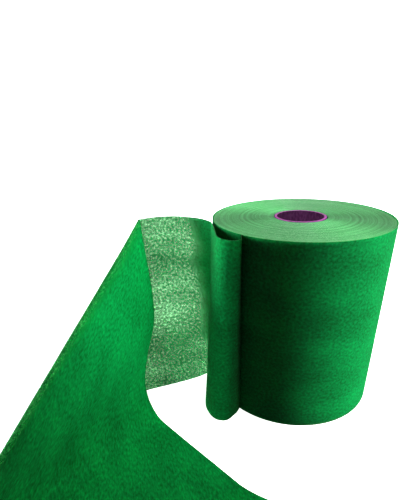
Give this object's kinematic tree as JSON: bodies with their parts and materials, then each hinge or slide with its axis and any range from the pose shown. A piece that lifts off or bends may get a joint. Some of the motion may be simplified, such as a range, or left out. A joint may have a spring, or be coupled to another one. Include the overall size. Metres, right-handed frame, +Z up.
{
  "type": "backdrop web roll",
  "caption": "Roll of thin green nonwoven backdrop web on a purple tube core, standing on its end, with the free end looped off, folded over a diagonal and run out on the floor.",
  "frame": {"origin": "on the axis of the core bore, in the plane of the roll's lower end face", "axes": "+Z up along the roll's axis; -Y is the side that the free web comes forward on; +X is to the right of a person who looks along +Y"},
  "size_m": [0.5525, 0.7367, 0.32],
  "materials": {
    "core_liner": "smooth dyed liner ply",
    "core_board": "cut end of wound board plies",
    "core_cover": "smooth dyed cover ply",
    "tape": "matt double-sided tissue tape",
    "wound_web": "edges of wound nonwoven web",
    "web": "thin spunbonded nonwoven, matt, cloudy"
  },
  "bodies": {
    "free_web": {"outer_turn": "web", "web_loop": "web", "web_standing_run": "web", "web_fold_back": "web", "web_fold_front": "web"},
    "roll": {"core_liner": "core_liner", "core_body": "core_board", "core_cover": "core_cover", "start_tape": "tape", "wound_web": "wound_web"},
    "free_end": {"web_floor_run": "web"}
  },
  "joints": [
    {"name": "roll_spin", "type": "hinge", "parent": "free_web", "child": "roll", "pos_m": [0, 0, 0], "axis": [0, 0, 1], "continuous": true},
    {"name": "free_end_lift", "type": "hinge", "parent": "free_web", "child": "free_end", "pos_m": [-0.22426, -0.17665, 0.0016], "axis": [-0.5045, -0.8634, 0], "range_deg": [0, 60]}
  ]
}
